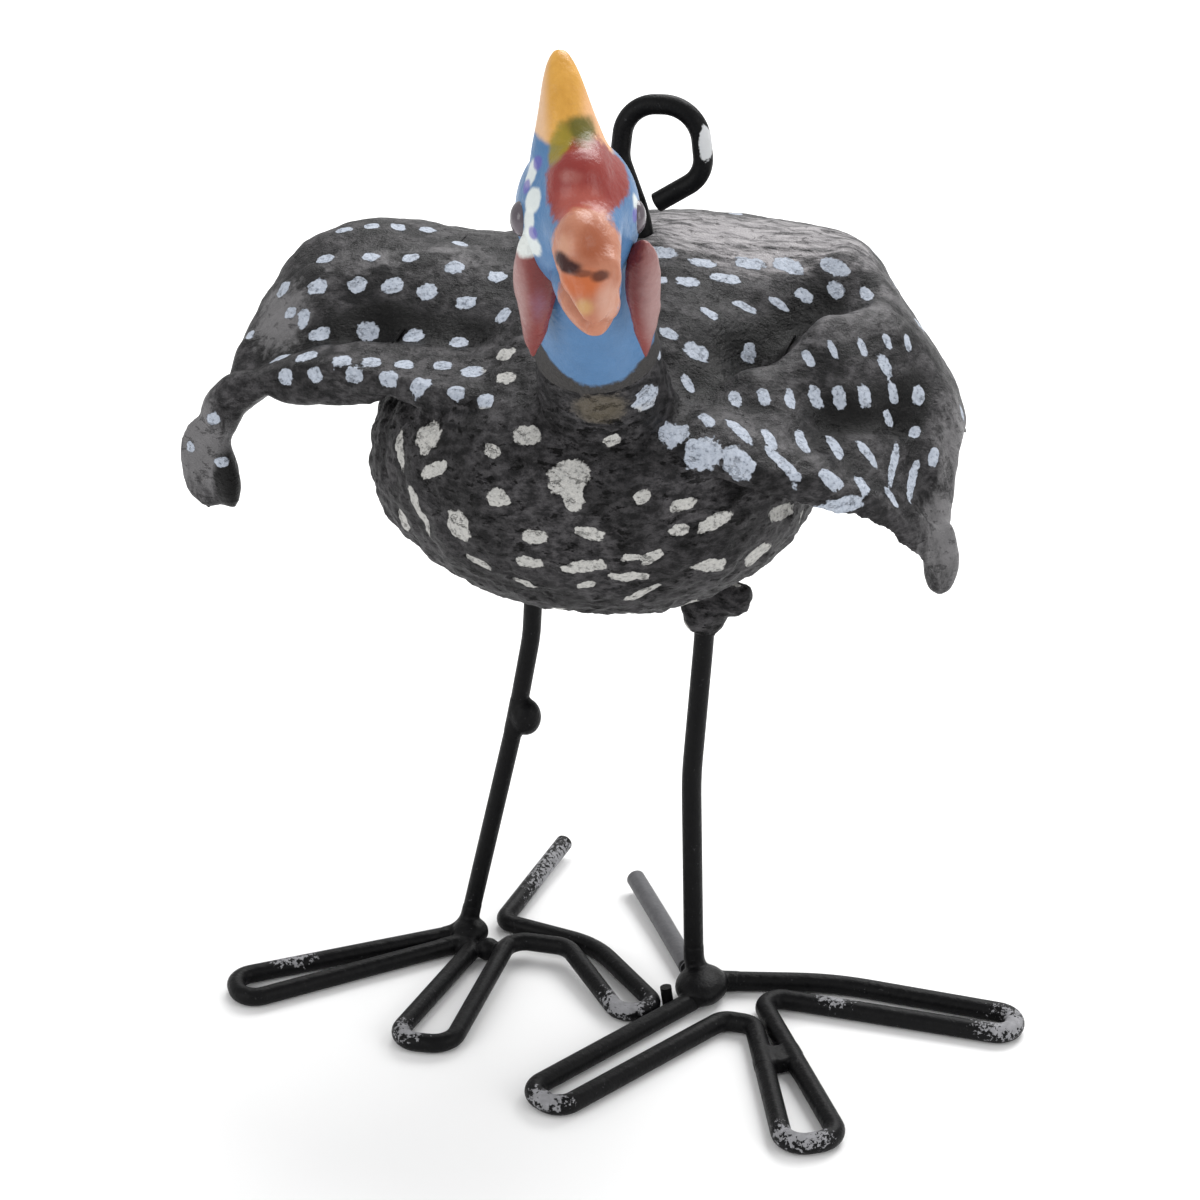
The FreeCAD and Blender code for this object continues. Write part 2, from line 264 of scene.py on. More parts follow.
# %% [markdown]
# Pieces are worked with the ordinary tools, and these helpers only save words: one copies frame
# nodes into a new object to sculpt on, one applies a modifier, one cuts along a plane, and one
# says which body a finished piece rides on and which nodes it stands for.


# %% Workshop helpers
def alone(piece):
    """Selects just this object."""
    bpy.ops.object.select_all(action="DESELECT")
    piece.select_set(True)
    bpy.context.view_layer.objects.active = piece


def clay_copy(name, *sources):
    """One new object with the closed shapes of these frame nodes, ready to be sculpted."""
    bpy.ops.object.select_all(action="DESELECT")
    for source in sources:
        NODES[source].select_set(True)
    bpy.context.view_layer.objects.active = NODES[sources[0]]
    bpy.ops.object.duplicate()
    bpy.ops.object.parent_clear(type="CLEAR_KEEP_TRANSFORM")
    bpy.ops.object.join()
    piece = bpy.context.object
    piece.name = name
    for key in list(piece.keys()):
        del piece[key]
    bpy.ops.object.mode_set(mode="EDIT")
    bpy.ops.mesh.select_all(action="SELECT")
    bpy.ops.mesh.remove_doubles(threshold=0.00001)
    bpy.ops.object.mode_set(mode="OBJECT")
    piece.data.materials.clear()
    return piece


def apply(piece, kind, **settings):
    """Adds a modifier with these settings and applies it."""
    alone(piece)
    modifier = piece.modifiers.new(kind.lower(), kind)
    for name, setting in settings.items():
        setattr(modifier, name, setting)
    bpy.ops.object.modifier_apply(modifier=modifier.name)


def cut(piece, point, normal, keep_above):
    """Cuts along a plane, drops one side and closes the cut."""
    alone(piece)
    bpy.ops.object.mode_set(mode="EDIT")
    bpy.ops.mesh.select_all(action="SELECT")
    bpy.ops.mesh.bisect(plane_co=[c * MM for c in point], plane_no=normal, use_fill=True,
                        clear_inner=keep_above, clear_outer=not keep_above)
    bpy.ops.object.mode_set(mode="OBJECT")


def finished(piece, material, slot, *stands_for):
    """Shades, paints and hands over a finished piece."""
    if not piece.data.has_custom_normals:
        alone(piece)
        bpy.ops.object.shade_smooth_by_angle(angle=math.radians(60))
    piece.data.materials.clear()
    piece.data.materials.append(material)
    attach(piece, "root")
    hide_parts(*stands_for)
    print(f"{piece.name}: {len(piece.data.polygons)} faces")


# %% [markdown]
# The paper skin. On the real bird the body is a ball of pulp, and the wings are wet paper laid
# over it and left to dry in folds, so there is no seam between them. Three lofts can't show
# that. The frame's shapes are therefore copied into one object, remeshed as one skin, softened
# so that the joints flow together, and made uneven with cloudy displacement.

# %% Clay, lumps and pellets
GRAIN = 0.55 * MM
HEAD_GRAIN = 0.33 * MM
WELD_GRAIN = 0.16 * MM
# The plane between black neck and blue throat: a point in mm and the way the neck leans.
NECK_CUT = (4.0, -41.0, 110.0)
NECK_LEAN = (0, -0.469, 0.883)


def clouds(name, size, depth):
    texture = bpy.data.textures.new(name, "CLOUDS")
    texture.noise_scale = size * MM
    texture.noise_depth = depth
    return texture


def roughen(piece, texture, height, group=""):
    """Pushes the surface in and out by up to half of height, in millimetres."""
    apply(piece, "DISPLACE", texture=texture, texture_coords="LOCAL", strength=height * MM,
          mid_level=0.5, vertex_group=group)


def pellet(start, end, thick):
    """A stretched ball of clay from start to end, in mm, to press into a gap."""
    start, end = Vector(start) * MM, Vector(end) * MM
    bpy.ops.object.select_all(action="DESELECT")
    bpy.ops.mesh.primitive_uv_sphere_add(segments=32, ring_count=20, radius=0.5)
    ball = bpy.context.object
    bpy.ops.object.mode_set(mode="EDIT")
    bpy.ops.mesh.select_all(action="SELECT")
    bpy.ops.transform.resize(value=(thick * MM, thick * MM, (start - end).length))
    bpy.ops.object.mode_set(mode="OBJECT")
    ball.rotation_mode = "QUATERNION"
    ball.rotation_quaternion = (start - end).to_track_quat("Z", "Y")
    ball.location = (start + end) / 2
    bpy.ops.object.transform_apply(location=True, rotation=True, scale=True)
    return ball


# The wings are thinner than two grains at their edges, so they are fattened a little first.
fat_wings = clay_copy("fat_wings", "wing_right", "wing_left")
apply(fat_wings, "DISPLACE", strength=0.25 * MM, mid_level=0)
skin = clay_copy("paper_skin", "torso", "tail", "collar_right", "collar_left", "pulp_lump", "neck")
pellets = [
    pellet((-48.5, -17.6, 101.0), (-61.0, -17.2, 93.2), 6.4),
    pellet((-54.0, -17.8, 98.4), (-62.0, -18.2, 86.0), 5.6),
    pellet((-58.4, -18.6, 92.0), (-56.4, -18.0, 79.0), 4.4),
    pellet((-61.0, -18.2, 93.0), (-61.4, -17.8, 82.6), 3.8),
    pellet((-30.0, -22.0, 100.6), (-52.0, -19.8, 99.0), 4.2),
    pellet((45.0, -18.6, 90.0), (50.6, -16.4, 79.6), 3.6),
]
alone(skin)
for lump in [fat_wings] + pellets:
    lump.select_set(True)
bpy.ops.object.join()
apply(skin, "REMESH", mode="VOXEL", voxel_size=GRAIN)
apply(skin, "SMOOTH", factor=0.5, iterations=14)
cut(skin, NECK_CUT, NECK_LEAN, keep_above=False)
print(f"skin: {len(skin.data.vertices)} points")


# %% Where the skin is body and where it is wing
def points_of(piece):
    found = np.zeros(3 * len(piece.data.vertices))
    piece.data.vertices.foreach_get("co", found)
    return found.reshape(-1, 3)


def near(piece, *sources):
    """For each point of piece, how far the nearest of these frame nodes is, in metres."""
    trees = [BVHTree.FromPolygons([v.co for v in NODES[s].data.vertices],
                                  [p.vertices for p in NODES[s].data.polygons]) for s in sources]
    return np.array([min(t.find_nearest(v.co)[3] for t in trees) for v in piece.data.vertices])


wing_gap = near(skin, "wing_right", "wing_left")
body_gap = near(skin, "torso", "collar_right", "collar_left", "pulp_lump")
belly = np.clip(0.5 + (wing_gap - body_gap) / (3 * MM), 0, 1)


def paint_attribute(piece, name, values):
    layer = piece.data.attributes.get(name) or piece.data.attributes.new(name, "FLOAT", "POINT")
    layer.data.foreach_set("value", np.asarray(values, np.float32))


paint_attribute(skin, "belly", belly)
print(f"belly share {belly.mean():.2f}")

# %% [markdown]
# Wet paper sinks between its folds. Each fold here is a line across a wing with a reach and a
# depth: the skin near the line is pushed down or lifted, top and underside together, so that the
# paper keeps its thickness. The same field is kept as an attribute, for painted shade in the
# hollows and painted sheen on the ridges.

# %% Press the folds
# A fold is (start, end, reach, depth) in mm, and a negative depth lifts a ridge.
FOLDS = [
    ((-46, -13, 105), (-36, -10, 108), 4.2, 2.6), ((-36, -10, 108), (-20, -11, 108), 4.6, 2.4),
    ((-47, -3, 110), (-28, 3, 113), 5.0, -1.4), ((-52, -12, 102), (-54, -6, 104), 3.4, 1.8),
    ((13, -19, 105), (20, -8, 107), 4.6, 2.6), ((20, -8, 107), (27, 5, 111), 4.8, 3.0),
    ((21, -15, 105), (29, -5, 108), 3.8, -1.8), ((29, -5, 108), (37, 2, 108), 4.2, -1.8),
    ((33, -15, 102), (41, -9, 101), 4.4, 2.6), ((41, -9, 101), (43, -3, 103), 3.6, 1.8),
    ((18, -28, 102), (32, -26, 97), 3.2, -1.0), ((44, -12, 96), (47, -17, 88), 2.2, 1.2),
    ((47, -8, 97), (50, -15, 86), 1.8, -1.0), ((30, 14, 114), (38, 8, 110), 4.0, -1.2),
]
folded = points_of(skin)
hollow = np.zeros(len(folded))
for start, end, reach, depth in FOLDS:
    start, end = np.array(start) * MM, np.array(end) * MM
    along = end - start
    share = np.clip((folded - start) @ along / (along @ along), 0, 1)
    gap = np.linalg.norm(folded - start - share[:, None] * along, axis=1)
    hollow += depth * np.exp(-(gap / (reach * MM)) ** 2)
folded[:, 2] -= hollow * (1 - belly) * MM
skin.data.vertices.foreach_set("co", folded.ravel())
skin.data.update()
paint_attribute(skin, "hollow", hollow * (1 - belly))
print(f"deepest fold {hollow.max():.1f} mm")

# %% Roughen it, but not at the neck's cut
from_cut = (folded - np.array(NECK_CUT) * MM) @ np.array(NECK_LEAN) / MM
loose = np.clip(-from_cut / 5, 0, 1)
for name, weights in (("loose", loose), ("belly", belly * loose)):
    group = skin.vertex_groups.new(name=name)
    for level in range(1, 11):
        chosen = np.nonzero(np.round(weights * 10) == level)[0]
        group.add([int(i) for i in chosen], level / 10, "REPLACE")
roughen(skin, clouds("broad_lumps", 11, 1), 1.3, "loose")
roughen(skin, clouds("pulp", 2.6, 2), 1.2, "belly")
roughen(skin, clouds("paper_creases", 4.5, 2), 0.7, "loose")

# %% [markdown]
# White dabs cover the black paper in rows that follow the feather tracts: squarish on the bird's
# right wing, long and slanted on the left one, large and loose on the breast. Modelling each dab
# would double the mesh, and a repeated texture can't follow the rows. So each row is laid out as
# the painter sees it, from the front and a little above, on an upright board through the bird,
# and every dab is cast onto the skin along the line of sight. There it becomes a height field in
# an attribute, 1 in the middle and 0 at the rim, and the finish gives the rim its brush marks.

# %% The painter's board
SIGHT = Vector((0, 0, -1))
SIGHT.rotate(camera.rotation_euler)
RIGHT = Vector((1, 0, 0))
RIGHT.rotate(camera.rotation_euler)
UP = RIGHT.cross(SIGHT)
BOARD = EYE + SIGHT * 448 * MM

places = points_of(skin)
facing = np.zeros(places.size)
skin.data.vertices.foreach_get("normal", facing)
facing = facing.reshape(-1, 3)
skin_tree = BVHTree.FromPolygons([v.co for v in skin.data.vertices],
                                 [p.vertices for p in skin.data.polygons])
tree_of_points = KDTree(len(places))
for index, place in enumerate(places):
    tree_of_points.insert(place, index)
tree_of_points.balance()


def on_skin(across, up):
    """Where the line of sight through this point of the board, in mm, meets the skin."""
    aim = BOARD + RIGHT * across * MM + UP * up * MM
    return skin_tree.ray_cast(EYE, (aim - EYE).normalized())


# %% Rows and loose dabs
# A row is (across, up, across, up, bow, count, length, width, tilt, tilt): from one end to the
# other, with its middle raised by bow, and the dabs' long side turning from one tilt to the other.
ROWS = [
    (-40.8, 59.5, -22.9, 57.4, 1.6, 5, 2.4, 1.9, 10, -20),
    (-43.5, 54.8, -16.5, 51.7, 1.4, 5, 2.4, 2.3, 0, 0),
    (-51.2, 50.0, -15.2, 45.8, 2.2, 7, 2.6, 2.5, 20, 0),
    (-44.6, 42.6, -14.9, 39.8, 1.0, 5, 2.7, 2.6, 10, -10),
    (-51.8, 38.6, -15.0, 35.9, 0.9, 8, 3.0, 2.6, 15, -5),
    (-50.6, 36.0, -17.9, 32.0, 1.2, 7, 2.6, 2.2, 10, -20),
    (9.6, 55.2, 37.5, 53.6, -0.8, 5, 4.2, 2.4, -8, -30),
    (8.2, 51.2, 20.3, 51.2, 0.0, 3, 3.8, 1.9, 0, -8),
    (32.6, 49.0, 42.9, 49.1, 0.2, 3, 3.2, 1.7, -38, -62),
    (17.8, 45.9, 28.6, 47.4, 0.2, 3, 3.2, 1.5, -30, -35),
    (21.9, 32.6, 50.6, 33.0, -0.4, 8, 3.3, 1.7, -70, -88),
    (33.6, 39.0, 49.4, 41.4, 0.4, 5, 2.8, 1.2, -66, -70),
    (17.0, 29.0, 43.2, 23.4, -0.6, 6, 4.3, 1.6, -52, -62),
]
# A loose dab is (across, up, length, width, tilt).
LOOSE = [
    (-47.4, 45.0, 3.2, 1.8, 80), (-49.6, 46.0, 2.2, 1.9, 0), (-56.0, 42.5, 3.0, 1.4, 75),
    (-62.0, 29.0, 2.2, 1.8, 30), (-60.5, 22.0, 2.0, 1.6, 0), (-65.5, 24.5, 1.8, 1.6, 0),
    (11.0, 42.6, 2.8, 1.7, -35), (15.5, 39.7, 3.6, 2.8, -25), (23.8, 39.5, 3.3, 2.1, 80),
    (9.5, 39.2, 2.2, 1.2, -40), (14.0, 34.6, 3.4, 1.4, -62), (45.6, 37.6, 3.4, 1.9, -65),
    (46.1, 29.1, 2.4, 1.7, -70), (50.3, 26.8, 2.3, 1.5, 70), (53.4, 22.9, 2.8, 1.5, 75),
    (46.9, 21.6, 7.2, 1.3, 81), (49.9, 19.2, 7.0, 1.4, 78), (22.2, 22.1, 5.0, 3.4, -50),
    (29.3, 21.9, 6.4, 1.7, -45), (37.0, 19.4, 3.8, 2.3, -40), (41.9, 18.4, 2.9, 2.1, -55),
    (46.7, 16.3, 3.2, 1.4, -60), (7.5, 32.3, 4.0, 3.6, 0), (11.8, 26.4, 4.0, 3.8, 20),
    (16.2, 23.2, 4.6, 4.2, 0), (-27.7, 25.9, 4.2, 4.0, -60), (-17.3, 23.8, 3.0, 1.7, -20),
    (-11.7, 26.4, 3.8, 2.7, 0), (1.9, 25.4, 2.4, 1.7, 30), (-4.9, 19.6, 5.0, 4.6, 0),
    (-4.3, 16.4, 3.4, 2.8, -70), (-26.7, 20.8, 4.6, 1.9, 22), (-29.1, 14.1, 7.2, 2.1, -60),
    (-31.4, 12.8, 4.0, 1.9, -70), (-32.0, 24.0, 6.0, 1.6, -80), (-22.7, 11.7, 4.3, 4.0, -70),
    (-16.3, 16.3, 3.3, 2.4, 0), (-10.6, 10.1, 3.3, 2.1, 0), (6.7, 16.5, 2.3, 1.7, 30),
    (-1.6, 10.6, 3.9, 1.8, -12), (13.3, 15.2, 3.6, 1.6, 10), (12.8, 11.2, 2.8, 1.5, 10),
    (18.4, 12.5, 4.9, 1.9, 30), (-11.2, 5.9, 3.5, 1.9, -6), (-2.4, 5.3, 6.0, 1.8, 6),
    (4.8, 6.9, 2.4, 1.4, 0), (8.3, 6.9, 3.0, 2.1, 20), (-2.1, 2.4, 2.7, 1.3, 15),
    (4.5, 3.7, 5.4, 1.6, 4), (6.9, 1.3, 6.4, 1.4, 20), (17.4, 5.6, 5.0, 2.7, -10),
    (25.1, 7.2, 4.6, 3.2, 25), (29.1, 14.1, 5.4, 2.3, 18), (38.1, 14.7, 7.0, 2.7, 16),
    (-12.0, 2.6, 3.6, 1.2, -20), (-19.5, 6.2, 4.0, 1.2, -28),
]
# The painter's hand shakes a little, in the same way each time.
hand = random.Random(7)
dabs = []


def lay_dab(across, up, length, width, tilt):
    """Casts one dab onto the skin: its middle, the skin's facing, its long way and half sizes."""
    middle, normal, _, _ = on_skin(across, up)
    turn = math.radians(tilt)
    beside = on_skin(across + 0.4 * math.cos(turn), up + 0.4 * math.sin(turn))[0]
    if middle is None or beside is None:
        return
    along = beside - middle
    along -= normal * along.dot(normal)
    dabs.append((middle, normal, along.normalized(), 0.57 * length, 0.57 * width))


for x0, z0, x1, z1, bow, count, length, width, tilt0, tilt1 in ROWS:
    for index in range(count):
        t = index / (count - 1)
        lay_dab(x0 + t * (x1 - x0) + hand.uniform(-0.5, 0.5),
                z0 + t * (z1 - z0) + 4 * bow * t * (1 - t) + hand.uniform(-0.4, 0.4),
                length * hand.uniform(0.85, 1.15), width * hand.uniform(0.85, 1.15),
                tilt0 + t * (tilt1 - tilt0) + hand.uniform(-8, 8))
for single in LOOSE:
    lay_dab(*single)
seen = len(dabs)

# %% Dabs where the painter's first view doesn't reach
TRIES = 14000
WING_GAP, BODY_GAP = 7.0 * MM, 9.5 * MM
tries = list(range(len(places)))
hand.shuffle(tries)
laid = [d[0] for d in dabs]
for index in tries[:TRIES]:
    point = Vector(places[index])
    normal = Vector(facing[index])
    toward = (point - EYE).normalized()
    first = skin_tree.ray_cast(EYE, toward)[0]
    in_view = (first is not None and (first - point).length < 1.5 * MM
               and normal.dot(toward) < -0.12)
    gap = WING_GAP if belly[index] < 0.5 else BODY_GAP
    if in_view or any((point - other).length < gap for other in laid):
        continue
    laid.append(point)
    along = normal.cross(Vector((0, 1, 0.2))).normalized()
    dabs.append((point, normal, along, hand.uniform(1.1, 1.7), hand.uniform(0.8, 1.3)))
print(f"{seen} dabs in view, {len(dabs) - seen} round the back")

# %% The height field of the dabs
paint_height = np.full(len(places), -1.0)
for middle, normal, along, half_length, half_width in dabs:
    across = normal.cross(along)
    reach = 1.8 * max(half_length, half_width) * MM
    found = [i for _, i, _ in tree_of_points.find_range(middle, reach)]
    if not found:
        continue
    apart = places[found] - np.array(middle)
    u = np.abs(apart @ np.array(along)) / (half_length * MM)
    w = np.abs(apart @ np.array(across)) / (half_width * MM)
    level = 1 - (u ** 2.6 + w ** 2.6) ** (1 / 2.6)
    level[facing[found] @ np.array(normal) < 0.1] = -1
    paint_height[found] = np.maximum(paint_height[found], level)
paint_attribute(skin, "dab", paint_height)
print(f"dab cover {np.mean(paint_height > 0):.3f}")

# %% [markdown]
# The black paint was brushed over bare pulp, so it is glossy where it pooled and dull and grey
# where it is thin. Three sizes of relief share that: broad lumps are already in the mesh, and
# fibres and pits come from a bump. Pits only open on the body, where the pulp was left coarse.

# %% Black paint and white dabs
# Where a painted sheen lightens the wing tips and outer folds to grey: (centre, half sizes) in mm.
SHEEN_SPOTS = [
    ((-60.5, -18.5, 89.5), (7.5, 8.0, 11.0)), ((49.5, -15.0, 84.0), (6.0, 8.0, 9.0)),
    ((52.0, -6.0, 97.0), (6.5, 12.0, 14.0)), ((-52.0, -8.0, 106.0), (8.0, 12.0, 6.0)),
]
PITCH = (0.0015, 0.0015, 0.0015)


def black_ground(coat, fibres, body_share):
    """Black, glossy where it pooled and grey where it is thin, with painted shade in the fold
    hollows and painted sheen on the ridges; also gives the pooling and the fold shade.
    """
    pooled = coat.ramp(coat.noise(9.0, 2), 0.42, 0.62)
    thin = coat.ramp(fibres, 0.38, 0.68) * (1 - 0.5 * pooled)
    black = coat.mix(pooled, (0.012, 0.0115, 0.0125), (0.004, 0.0038, 0.0042))
    black = coat.mix(thin * 0.85, black, (0.088, 0.084, 0.088))
    # Painted shade darkens the fold hollows and a painted sheen lightens the ridges.
    fold_shade = coat.ramp(coat.attribute("hollow") + (fibres - 0.5) * 1.2, 0.7, 1.9)
    ridge_sheen = coat.ramp(0 - coat.attribute("hollow") + (fibres - 0.5) * 1.0, 0.4, 1.4)
    black = coat.mix(ridge_sheen * (0.25 + 0.5 * thin), black, (0.16, 0.155, 0.16))
    wells = coat.ramp(coat.noise(6.5, 3, 0.6, (0.7, 1.0, 1.2), 21.0), 0.52, 0.60)
    black = coat.mix(wells * (1 - 0.75 * body_share) * 0.85, black, (0.004, 0.004, 0.0045))
    return coat.mix(fold_shade * 0.95, black, PITCH), pooled, fold_shade


def painted_sheen_and_shadow(coat, black):
    """The black with painted sheen on the top of the back, the wing tips and the outer folds, and
    a painted shadow inside the curled tip.
    """
    drag = coat.noise(2.0, 4, 0.7, (0.35, 1.6, 1.0), 12.0)
    # Painted sheen: streaked light grey on the top of the back, where the light from above falls.
    back = coat.ramp(coat.spot((14, 16, 116), (26, 12, 7)) + (drag - 0.5) * 0.9, 0.05, 0.6)
    black = coat.mix(back * coat.ramp(drag, 0.30, 0.62) * 0.85, black, (0.42, 0.40, 0.41))
    ragged_edges = coat.noise(1.4, 4, 0.7, (1.0, 1.0, 0.3), 16.0)
    # Painted sheen on the wing tips and outer folds.
    for centre, reach in SHEEN_SPOTS:
        share = coat.ramp(coat.spot(centre, reach) + (ragged_edges - 0.5) * 1.3, 0.05, 0.6)
        black = coat.mix(share * 0.6, black, (0.22, 0.215, 0.22))
    # Painted shadow inside the curled wing tip.
    curl_shadow = coat.spot((-56.0, -20.5, 83.5), (3.0, 4.0, 6.0)) + (ragged_edges - 0.5) * 0.4
    return coat.mix(coat.ramp(curl_shadow, 0.0, 0.3) * 0.95, black, (0.004, 0.004, 0.004))


def black_skin():
    coat = Finish("pulp_black")
    body_share = coat.attribute("belly")
    fibres = coat.noise(1.3, 6, 0.72, (0.7, 0.5, 1.2))
    grit = coat.noise(0.45, 4, 0.6)
    pits = coat.ramp(coat.noise(1.7, 5, 0.7, (0.7, 0.8, 1.5), 3.1), 0.57, 0.64)
    pits = pits * (0.35 + 0.65 * body_share)
    black, pooled, fold_shade = black_ground(coat, fibres, body_share)
    black = coat.mix(pits, painted_sheen_and_shadow(coat, black), PITCH)

    rim = coat.attribute("dab") + (coat.noise(1.1, 2) - 0.5) * 0.75 + (grit - 0.5) * 0.2
    dab = coat.ramp(rim, 0.02, 0.12)
    streak = coat.noise(0.55, 3, 0.6, shift=9.0)
    white = coat.mix(streak, (0.20, 0.24, 0.31), (0.60, 0.64, 0.71))
    cream = coat.mix(streak, (0.26, 0.26, 0.255), (0.62, 0.61, 0.58))
    white = coat.mix(coat.ramp(body_share, 0.6, 0.9), white, cream)
    cover = dab * (0.55 + 0.45 * coat.ramp(streak + (grit - 0.5) * 0.5, 0.30, 0.45))
    colour = coat.mix(cover, black, white)
    smudge = coat.spot((5.6, -40.0, 107.6), (5.0, 4.0, 3.2)) + (fibres - 0.5) * 1.4
    colour = coat.mix(coat.ramp(smudge, 0.0, 0.5) * 0.5, colour, (0.15, 0.125, 0.085))

    roughness = (0.33 + 0.20 * fibres + 0.14 * body_share - 0.08 * pooled + 0.12 * dab
                 - 0.10 * fold_shade)
    height = fibres * 0.55 + grit * 0.25 - pits * 0.8 + dab * 0.22
    return coat.surface(colour, roughness, height, 0.8, Specular_IOR_Level=0.14)


skin_paint = black_skin()
print(f"{skin_paint.name}: {len(skin_paint.node_tree.nodes)} nodes")

# %% [markdown]
# The skin is one sheet of clay until here, because paint and creases run over its joints.
# The frame has the body, the two wings and the tail as pieces of their own, so the finished skin
# is cut along planes where the wings leave the flanks, and each part keeps its own mesh.


# %% Cut the skin into its pieces
def split_off(name, point, normal):
    """Moves what lies beyond the plane into a new piece."""
    alone(skin)
    bpy.ops.object.duplicate()
    piece = bpy.context.object
    piece.name = name
    cut(piece, point, normal, keep_above=True)
    cut(skin, point, normal, keep_above=False)
    return piece


def keep_facing(piece):
    """Shades a cut piece as it was in the whole skin, so that no seam shows."""
    alone(piece)
    bpy.ops.object.shade_smooth()
    normals = [facing[tree_of_points.find(v.co)[1]] for v in piece.data.vertices]
    piece.data.normals_split_custom_set_from_vertices(normals)


right_skin = split_off("wing_right_paper", (-33, 0, 103), (-0.93, 0, 0.36))
left_skin = split_off("wing_left_paper", (26, 0, 103), (0.93, 0, 0.36))
tail_skin = split_off("tail_paper", (0, 41, 92), (0, 0.94, -0.34))
skin.name = "body_paper"
for piece in (skin, right_skin, left_skin, tail_skin):
    keep_facing(piece)
    print(f"{piece.name}: {len(piece.data.vertices)} points")

# %% [markdown]
# The head is smooth: putty over the neck wire, sanded, then painted with enamel. The frame's
# skull, casque, brow and beak are joined as clay, remeshed finely and softened so that they grow
# out of one another. It is cut from the body skin along the leaning plane under the blue throat.

# %% Head
head_clay = clay_copy("painted_head", "neck", "head", "casque", "forehead", "upper_beak",
                      "lower_beak")
# Pellets of putty fill the steps from casque to brow, from brow to beak and at the beak's corners.
putty = [
    pellet((6.0, -46.0, 145.6), (7.2, -56.4, 142.6), 5.6),
    pellet((3.6, -50.0, 144.0), (4.8, -55.4, 140.0), 4.4),
    pellet((7.4, -58.0, 141.0), (8.6, -64.0, 136.2), 5.4),
    pellet((7.6, -62.6, 136.4), (9.4, -65.4, 131.8), 4.4),
    pellet((11.6, -61.6, 137.0), (12.6, -64.6, 131.4), 3.6),
    pellet((9.8, -64.6, 131.0), (14.0, -63.8, 130.6), 4.6),
]
alone(head_clay)
for ball in putty:
    ball.select_set(True)
bpy.ops.object.join()
apply(head_clay, "REMESH", mode="VOXEL", voxel_size=HEAD_GRAIN)
# The brow is sanded much longer than the rest, fading out over the last 4 mm.
BROW, BROW_REACH, BROW_FADE = Vector((7.6, -54.5, 142.5)), 12, 4
brow = head_clay.vertex_groups.new(name="brow")
for vertex in head_clay.data.vertices:
    far = (vertex.co / MM - BROW).length
    if far < BROW_REACH:
        brow.add([vertex.index], min(1, (BROW_REACH - far) / BROW_FADE), "REPLACE")
apply(head_clay, "SMOOTH", factor=0.5, iterations=16)
apply(head_clay, "SMOOTH", factor=0.5, iterations=160, vertex_group="brow")
cut(head_clay, NECK_CUT, NECK_LEAN, keep_above=True)
print(f"head: {len(head_clay.data.vertices)} points")

# %% [markdown]
# Two red wattles hang beside the throat. Each starts as a sphere stretched to a leaf and tapered
# to its tip, then it is turned so that its broad side follows the cheek.


# %% Wattles
def wattle(name, top, tip, width, thickness, turn):
    """A leaf that hangs from top to tip, in mm, with its broad side turned about its length."""
    top, tip = Vector(top) * MM, Vector(tip) * MM
    bpy.ops.object.select_all(action="DESELECT")
    bpy.ops.mesh.primitive_uv_sphere_add(segments=64, ring_count=40, radius=0.5)
    leaf = bpy.context.object
    leaf.name = name
    bpy.ops.object.mode_set(mode="EDIT")
    bpy.ops.mesh.select_all(action="SELECT")
    bpy.ops.transform.resize(value=(width * MM, thickness * MM, (top - tip).length))
    bpy.ops.object.mode_set(mode="OBJECT")
    apply(leaf, "SIMPLE_DEFORM", deform_method="TAPER", deform_axis="Z", factor=0.95)
    leaf.rotation_mode = "QUATERNION"
    leaf.rotation_quaternion = (top - tip).to_track_quat("Z", "Y")
    leaf.location = (top + tip) / 2
    bpy.ops.object.transform_apply(location=True, rotation=True, scale=True)
    alone(leaf)
    bpy.ops.object.mode_set(mode="EDIT")
    bpy.ops.mesh.select_all(action="SELECT")
    bpy.ops.transform.rotate(value=math.radians(turn), orient_axis="Z",
                             center_override=(top + tip) / 2)
    bpy.ops.object.mode_set(mode="OBJECT")
    roughen(leaf, clouds(name + "_lumps", 3.0, 1), 0.5)
    return leaf


wattle_right = wattle("wattle_right_leaf", (-0.2, -52.0, 136.4), (-1.2, -46.8, 117.2),
                      5.4, 4.2, -14)
wattle_left = wattle("wattle_left_leaf", (11.4, -48.8, 134.6), (14.6, -45.4, 117.4),
                     4.2, 2.8, -50)
for leaf in (wattle_right, wattle_left):
    print(leaf.name, [round(s / MM, 1) for s in leaf.dimensions], "mm")

# %% [markdown]
# The enamel on the head is laid in patches with soft, hand-drawn edges. Each patch is a spot: an
# ellipsoid in space that colours whatever surface passes through it, with a little noise so that
# its edge wavers like a brush stroke. Patches go on in the painter's order: blue ground, yellow
# horn, red brow, flesh beak, then the small strokes.


# %% Enamel
def enamel(name, ground):
    """A glossy finish with its ground colour, ready for patches."""
    paint = Finish(name)
    waver = (paint.noise(1.6, 3) - 0.5) * 0.45 + (paint.noise(0.5, 2, shift=5.0) - 0.5) * 0.16
    cloud = paint.noise(3.4, 3, shift=2.0)
    dark = tuple(0.72 * c for c in ground)
    return paint, waver, paint.mix(cloud, dark, ground)


def patch(paint, waver, under, colour, centre, reach, soft=0.12, strength=1.0):
    """One brushed patch of colour over what is under it."""
    share = paint.ramp(paint.spot(centre, reach) + waver, -soft, soft)
    return paint.mix(share * strength, under, colour)


BLUE = (0.075, 0.185, 0.365)
CHALK = (0.62, 0.66, 0.64)
VIOLET = (0.10, 0.08, 0.34)
MOUTH = (0.03, 0.004, 0.003)
